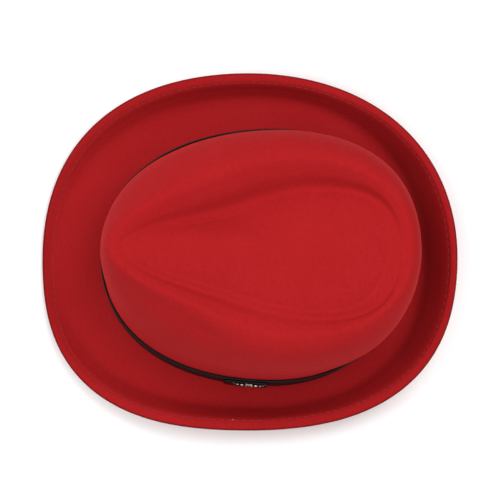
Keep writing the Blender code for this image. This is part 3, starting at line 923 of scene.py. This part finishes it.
def steer_face():
    """The head's modelled front on a flat back, and how dark each point is: patina in hollows, painted
    shade on its sides and back.
    """
    ups = np.linspace(0.0, 1.0, FACE_TALL)
    table = np.array([row[1:] for row in STEER_HEAD])
    half, depth = smooth_curve(table[:, 0], table[:, 1:], ups).T
    side, up = np.meshgrid(np.sin(np.linspace(-1, 1, FACE_WIDE) * np.pi / 2), ups)
    spread = np.abs(side)
    rounded = 0.5 * (1 - spread) + 0.5 * (1 - spread**2.6) ** 0.55
    detail = sum(
        form.out * bump_at(form.side, form.width, spread) * bump_at(form.up, form.height, up)
        for form in FACE_FORMS
    )
    nose = bump_at(0.0, 0.30, side) * smooth_step(0.2, 0.35, up) * (1 - smooth_step(0.72, 0.86, up))
    mouth = bump_at(0.055, 0.014, up) * (spread < 0.8)
    curls = np.cos(side * 9 + 26 * (up - 0.9)) * bump_at(0.93, 0.06, up) * bump_at(0.0, 0.5, side)
    detail = detail + NOSE_OUT * nose - MOUTH_IN * mouth + CURLS_OUT * curls
    out = np.maximum((depth[:, None] + detail) * rounded, 0.0) * HEAD_PLATE_DEPTH
    across = side * (half * HEAD_PLATE_WIDTH / 2)[:, None]
    front = np.stack([across, (up - SEAT_UP) * HEAD_PLATE_HEIGHT, out], axis=-1)
    behind = front.copy()
    behind[..., 2] = 0.0
    front[0, :, 2] *= 0.5
    points = np.concatenate([front.reshape(-1, 3), behind.reshape(-1, 3)])
    faces = []
    size = FACE_TALL * FACE_WIDE
    for i in range(FACE_TALL - 1):
        for j in range(FACE_WIDE - 1):
            a, b = i * FACE_WIDE + j, (i + 1) * FACE_WIDE + j
            faces += [(a, a + 1, b + 1, b), (size + a, size + b, size + b + 1, size + a + 1)]
    grid = np.arange(size).reshape(FACE_TALL, FACE_WIDE)
    sides = (grid[0, :-1], grid[:-1, -1], grid[-1, :0:-1], grid[:0:-1, 0])
    border = np.concatenate(sides).tolist()
    for a, b in zip(border, border[1:] + border[:1]):
        faces.append((a, size + a, size + b, b))
    # Patina in the hollows, and painted shade along the face's sides and over its back, which lies on the
    # band
    patina_and_shade = np.clip(-detail * 4, 0, 1) + 0.8 * smooth_step(0.9, 1.0, spread)
    return points, faces, np.concatenate([np.clip(patina_and_shade, 0, 1).ravel(), np.ones(size)])


def tube(route, radii, flat=1.0, sides=14, ripple=0.0):
    """A closed tube along a route, with a rounded tip, and how dark each point is: patina in grooves,
    painted shade on the half facing the band.
    """
    points, patina_and_shade = [], []
    route = np.array(route)
    headings = unit(np.gradient(route, axis=0))
    for i, (place, heading, radius) in enumerate(zip(route, headings, radii)):
        beside = np.cross(heading, UP)
        wave = ripple * math.cos(i * 2 * np.pi / 8)
        for turn in full_turn(sides):
            way = np.cos(turn) * beside + flat * np.sin(turn) * UP
            points.append(place + radius * (1 + wave) * way)
            # Patina in the growth rings' grooves, and painted shade on the half that faces the band
            patina_and_shade.append(min(1.0, max(0.0, 0.4 - wave * 5) + 0.9 * (np.sin(turn) < -0.1)))
    return np.array(points), capped_faces(len(route), sides), np.array(patina_and_shade)


def steer_horn(side):
    """A horn that sweeps out from the poll and up, with faint growth rings."""
    reach = ORNAMENT_WIDTH / 2 - HORN_RADIUS / 2
    start, root = HORN_START * HEAD_PLATE_WIDTH, HORN_UP * HEAD_PLATE_HEIGHT
    route, radii = [], []
    for t in np.linspace(0.0, 1.0, 33):
        across = side * (start + (reach - start) * math.sin(t * np.pi / 2))
        up = root - HORN_SAG * HORN_RISE * math.sin(t * np.pi) + HORN_RISE * t**2.4
        radius = HORN_RADIUS * (1 - HORN_TAPER * t**1.5)
        route.append((across, up, radius))
        radii.append(radius * math.sqrt(max(1 - max(t - 0.95, 0) ** 2 / 0.0027, 0.05)))
    return tube(route, radii, ripple=HORN_RINGS)


def steer_ear(side):
    """An ear that droops a little outwards, hollow in front."""
    sides = 16
    root, start = EAR_UP * HEAD_PLATE_HEIGHT, EAR_START * HEAD_PLATE_WIDTH
    route, radii = [], []
    for t in np.linspace(0.0, 1.0, 15):
        across, up = side * (start + EAR_LENGTH * t), root - EAR_DROOP * EAR_LENGTH * t
        route.append((across, up, EAR_WIDTH * EAR_LIFT))
        radii.append(EAR_WIDTH / 2 * max(math.sin(math.pi * (0.18 + 0.80 * t)) ** 0.7, 0.12))
    points, faces, patina_and_shade = tube(route, radii, flat=EAR_FLAT, sides=sides)
    middle = np.repeat(np.array(route), sides, axis=0)
    height = points[:, 2] - middle[:, 2]
    beside = np.linalg.norm((points - middle)[:, :2], axis=1) / (EAR_WIDTH / 2)
    cup = np.where(height > 0, bump_at(0.0, 0.45, beside), 0.0)
    points[:, 2] -= cup * height * EAR_HOLLOW
    return points, faces, np.clip(patina_and_shade + cup, 0, 1)


def steer_eye(side):
    across, up = side * EYE_SIDE * HEAD_PLATE_WIDTH / 2, (EYE_UP - SEAT_UP) * HEAD_PLATE_HEIGHT
    centre = np.array([across, up, EYE_OUT * HEAD_PLATE_DEPTH])
    rounds, sides, radius = 7, 12, EYE_RADIUS * HEAD_PLATE_WIDTH
    points = []
    for lift in np.pi * np.arange(1, rounds) / rounds:
        for a in full_turn(sides):
            way = (math.sin(lift) * math.cos(a), math.sin(lift) * math.sin(a), math.cos(lift))
            points.append(centre + radius * np.array(way))
    return np.array(points), capped_faces(rounds - 1, sides), np.zeros(len(points))


def ornament(metal, shift):
    parts = [steer_face()]
    for side in (-1, 1):
        parts += [steer_horn(side), steer_ear(side), steer_eye(side)]
    points, faces, patina_and_shade = [], [], []
    for part_points, part_faces, part_patina_and_shade in parts:
        start = sum(len(p) for p in points)
        points.append(part_points)
        patina_and_shade.append(part_patina_and_shade)
        faces += [tuple(start + i for i in face) for face in part_faces]
    piece = new_piece("steer_head", np.concatenate(points), faces)
    keep_attribute(piece.data, "patina_and_shade", np.concatenate(patina_and_shade))
    face_out(piece)
    piece.data.transform(ornament_place(shift))
    piece.data.set_sharp_from_angle(angle=math.radians(60))
    piece.data.materials.append(metal)
    return piece


# Materials. A colour mix reads its share and its two colours at inputs 0, 6 and 7, and a map of a range
# reads the range at 1 and 2 and gives 3 to 4.


def new_material(name):
    """A material, its shader node, and what adds a node to it."""
    material = bpy.data.materials.new(name)
    material.use_nodes = True
    tree = material.node_tree
    return material, tree.nodes["Principled BSDF"], partial(add_node, tree)


def wool_felt():
    """Pressed wool felt: a matt, slightly mottled red with short matted fibres, and a pale bloom of
    raised fibre ends where it is seen at a glance along the surface. A wool fibre is 0.02 mm thick and
    wouldn't show, so matted tufts 1.3 to 2.2 mm across are drawn in its place."""
    material, shader, add = new_material("pressed wool felt, crimson")
    place = add("ShaderNodeTexCoord").outputs["Object"]
    clouds = add(
        "ShaderNodeTexNoise", {"Vector": place, "Scale": per_mm(38), "Detail": 3.0, "Roughness": 0.55}
    )
    clumps = add(
        "ShaderNodeTexNoise", {"Vector": place, "Scale": per_mm(2.2), "Detail": 5.0, "Roughness": 0.62}
    )
    fibres = add(
        "ShaderNodeTexNoise",
        {"Vector": place, "Scale": per_mm(1.3), "Detail": 4.0, "Roughness": 0.6, "Distortion": 1.6},
        noise_type="RIDGED_MULTIFRACTAL",
    )
    # Painted shade on the fold round the brim's edge, which is darkened towards 5A0D10 below
    line = add("ShaderNodeAttribute", attribute_name="painted_fold_shade").outputs["Fac"]
    matted = add("ShaderNodeMapRange", {0: clumps, 1: 0.3, 2: 0.7, 3: 0.0, 4: 0.34})
    hair = add("ShaderNodeMapRange", {0: fibres, 1: 0.55, 2: 1.3, 3: 0.0, 4: 0.16})
    shade = add("ShaderNodeMapRange", {0: line, 3: 0.0, 4: 0.75})
    colour = linear("9C181A")
    for share, code in ((clouds, "A41D20"), (matted, "871116"), (hair, "B23536"), (shade, "5A0D10")):
        mixed = add("ShaderNodeMix", {0: share, 6: colour, 7: linear(code)}, data_type="RGBA")
        colour = mixed.outputs[2]
    rough = add("ShaderNodeMapRange", {0: clumps, 1: 0.2, 2: 0.8, 3: 0.84, 4: 0.96})
    felted = add("ShaderNodeBump", {"Strength": 0.30, "Distance": 0.30 * MM, "Height": clumps})
    fuzzy = add(
        "ShaderNodeBump", {"Strength": 0.22, "Distance": 0.16 * MM, "Height": fibres, "Normal": felted}
    )
    set_inputs(shader, {"Base Color": colour, "Roughness": rough, "Normal": fuzzy})
    set_inputs(shader, {"Specular IOR Level": 0.06, "Sheen Weight": 0.360})
    set_inputs(shader, {"Sheen Roughness": 0.26, "Sheen Tint": linear("D83232")})
    return material


def strap_leather():
    """Chrome-tanned cowhide, dyed through and pressed: near black with a soft shine and a fine grain,
    of pebbles about 0.9 mm across and wrinkles about 6 mm apart."""
    material, shader, add = new_material("dyed cowhide strap, black")
    place = add("ShaderNodeTexCoord").outputs["Object"]
    grain = add(
        "ShaderNodeTexVoronoi",
        {"Vector": place, "Scale": per_mm(0.9), "Smoothness": 0.6, "Randomness": 1.0},
        feature="SMOOTH_F1",
    )
    wrinkle = add(
        "ShaderNodeTexNoise", {"Vector": place, "Scale": per_mm(6.0), "Detail": 4.0, "Roughness": 0.6}
    )
    colour = add(
        "ShaderNodeMix", {0: wrinkle, 6: linear("0E0D0D"), 7: linear("1D1B1A")}, data_type="RGBA"
    )
    rough = add("ShaderNodeMapRange", {0: wrinkle, 1: 0.3, 2: 0.7, 3: 0.50, 4: 0.66})
    creased = add("ShaderNodeBump", {"Strength": 0.25, "Distance": 0.25 * MM, "Height": wrinkle})
    pebbled = add(
        "ShaderNodeBump",
        {"Strength": 0.35, "Distance": 0.10 * MM, "Height": grain, "Normal": creased},
        invert=True,
    )
    set_inputs(shader, {"Base Color": colour.outputs[2], "Roughness": rough, "Normal": pebbled})
    set_inputs(shader, {"Specular IOR Level": 0.16})
    return material


def sewing_thread():
    """Mercerised cotton dyed to the felt: a fine broken line that shows by its own small shadow."""
    material, shader, add = new_material("mercerised cotton thread, red")
    place = add("ShaderNodeTexCoord").outputs["Object"]
    twist = add(
        "ShaderNodeTexNoise", {"Vector": place, "Scale": per_mm(0.5), "Detail": 2.0, "Roughness": 0.6}
    )
    colour = add("ShaderNodeMix", {0: twist, 6: linear("7A1114"), 7: linear("9E2325")}, data_type="RGBA")
    bump = add("ShaderNodeBump", {"Strength": 0.3, "Distance": 0.08 * MM, "Height": twist})
    set_inputs(shader, {"Base Color": colour.outputs[2], "Normal": bump})
    set_inputs(shader, {"Roughness": 0.55, "Specular IOR Level": 0.4})
    return material


def pale_thread():
    """The undyed core of a cut thread: a pale pink fleck."""
    material, shader, add = new_material("cut thread end, pale")
    place = add("ShaderNodeTexCoord").outputs["Object"]
    twist = add("ShaderNodeTexNoise", {"Vector": place, "Scale": per_mm(0.4), "Detail": 2.0})
    colour = add("ShaderNodeMix", {0: twist, 6: linear("C4605C"), 7: linear("DC9A94")}, data_type="RGBA")
    set_inputs(shader, {"Base Color": colour.outputs[2], "Roughness": 0.7})
    return material


def plated_alloy():
    """Cast zinc alloy with a polished nickel plate, blackened in its hollows: bright worn high places
    and dark recesses, which part its glints. The sides turned to the band are darkened as painted shade."""
    material, shader, add = new_material("nickel-plated zinc casting, antiqued, painted shade")
    place = add("ShaderNodeTexCoord").outputs["Object"]
    worn = add(
        "ShaderNodeTexNoise", {"Vector": place, "Scale": per_mm(1.4), "Detail": 4.0, "Roughness": 0.6}
    )
    # Darkness from patina in the hollows and from painted shade on the sides turned to the band
    patina_and_shade = add("ShaderNodeAttribute", attribute_name="patina_and_shade").outputs["Fac"]
    patchy = add("ShaderNodeMath", {0: worn, 1: 0.9, 2: -0.25}, operation="MULTIPLY_ADD")
    dark = add("ShaderNodeMath", {0: patina_and_shade, 1: patchy}, operation="ADD", use_clamp=True)
    colour = add("ShaderNodeMix", {0: dark, 6: linear("D9D0C4"), 7: linear("1A1817")}, data_type="RGBA")
    rough = add("ShaderNodeMapRange", {0: dark, 3: 0.16, 4: 0.55})
    bump = add("ShaderNodeBump", {"Strength": 0.2, "Distance": 0.05 * MM, "Height": worn})
    set_inputs(shader, {"Base Color": colour.outputs[2], "Roughness": rough, "Normal": bump})
    set_inputs(shader, {"Metallic": 1.0})
    return material


# Floor, lights and camera

# Soft boxes round the hat: degrees above the floor, and degrees round from the wearer's left to the back
SoftLight = namedtuple("SoftLight", "name up around watts")
SOFT_LIGHTS = (
    SoftLight("high back right", 62, 135, 5.55),
    SoftLight("high left", 62, 0, 2.50),
    SoftLight("front", 35, 270, 3.15),
    SoftLight("front right", 35, 225, 2.75),
    SoftLight("back left", 35, 45, 1.90),
    SoftLight("overhead", 90, 0, 1.45),
)
LIGHT_SIZE, LIGHT_DISTANCE, LIGHT_AIM = 0.6, 1.1, Vector((0.0, 0.0, 0.05))
AMBIENT = 0.420

FLOOR_HALF = 2.0
FLOOR_DROP = 0.0002  # the floor lies this far under the felt, so that they don't share a plane
PAPER_WHITE = 0.95

# The photo's camera: its size and focal length in pixels, and how far it leans from straight above
PHOTO_PIXELS = 500
FOCAL_PIXELS = 1495
SHIFT_PIXELS = 8
SENSOR = 36.0
CAMERA_LEFT = math.radians(3.8)
CAMERA_BACK = math.radians(-2.1)
CAMERA_AIM = Vector((0.0040, 0.0071, 0.0))


def studio():
    floor = bpy.data.meshes.new("floor")
    corners = [(x * FLOOR_HALF, y * FLOOR_HALF, 0) for x, y in ((-1, -1), (1, -1), (1, 1), (-1, 1))]
    floor.from_pydata(corners, [], [(0, 1, 2, 3)])
    ground = new_object("floor", floor)
    ground.location.z = -FLOOR_DROP
    paper, shader, _ = new_material("matt white paper")
    white = (PAPER_WHITE, PAPER_WHITE, PAPER_WHITE, 1.0)
    set_inputs(shader, {"Base Color": white, "Roughness": 0.9, "Specular IOR Level": 0.0})
    floor.materials.append(paper)

    world = bpy.data.worlds.new("studio")
    bpy.context.scene.world = world
    world.use_nodes = True
    back = world.node_tree.nodes["Background"]
    set_inputs(back, {"Color": (1.0, 1.0, 1.0, 1.0), "Strength": AMBIENT})

    for light in SOFT_LIGHTS:
        lamp = bpy.data.lights.new(light.name, "AREA")
        lamp.shape = "SQUARE"
        lamp.size = LIGHT_SIZE
        lamp.energy = light.watts
        holder = new_object(light.name, lamp)
        up, around = math.radians(light.up), math.radians(light.around)
        way = Vector((math.cos(up) * math.cos(around), math.cos(up) * math.sin(around), math.sin(up)))
        holder.location = LIGHT_AIM + LIGHT_DISTANCE * way
        holder.rotation_euler = (-way).to_track_quat("-Z", "Y").to_euler()


def photo_camera():
    """Almost straight above, a metre from the floor, a little towards the wearer's left and front."""
    back = Vector((math.tan(CAMERA_LEFT), math.tan(CAMERA_BACK), 1.0)).normalized()
    right = Vector((0.0, 1.0, 0.0))
    right = (right - right.dot(back) * back).normalized()
    data = bpy.data.cameras.new("camera")
    data.sensor_width = SENSOR
    data.lens = FOCAL_PIXELS * SENSOR / PHOTO_PIXELS
    data.shift_x, data.shift_y = -SHIFT_PIXELS / PHOTO_PIXELS, SHIFT_PIXELS / PHOTO_PIXELS
    camera = new_object("camera", data)
    camera.matrix_world = Matrix.Translation(CAMERA_AIM + back) @ turned(right, back.cross(right), back)
    bpy.context.scene.camera = camera


def main():
    photo_camera()
    studio()
    bpy.context.scene.view_settings.view_transform = "Standard"

    felt, leather, metal = wool_felt(), strap_leather(), plated_alloy()
    body, shift, top_row, under_row = felt_body(felt)
    values = {
        "Pitch": STITCH_PITCH,
        "Length": STITCH_LENGTH,
        "Thread": THREAD,
        "Rise": STITCH_RISE,
        "Unevenness": STITCH_UNEVENNESS,
        "Dye": sewing_thread(),
    }
    stitches = stitch_tree()
    sewn = []
    for name, row, seed in (("hem_stitches_top", top_row, 3), ("hem_stitches_under", under_row, 8)):
        path = closed_path(name, *felt_row(body.data, row))
        sewn.append(grow(path, stitches, {**values, "Seed": seed}))
    sewn.append(cut_end(body.data, top_row, pale_thread()))
    band, end = hatband(leather, shift), band_end(leather, shift)
    head = ornament(metal, shift)

    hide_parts("felt_body")
    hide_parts("hatband")
    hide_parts("band_end")
    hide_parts("ornament")
    for piece, slot in [(body, "felt"), (band, "leather"), (end, "leather"), (head, "metal")]:
        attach(piece, "root")
    for piece in sewn:
        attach(piece, "root")


main()
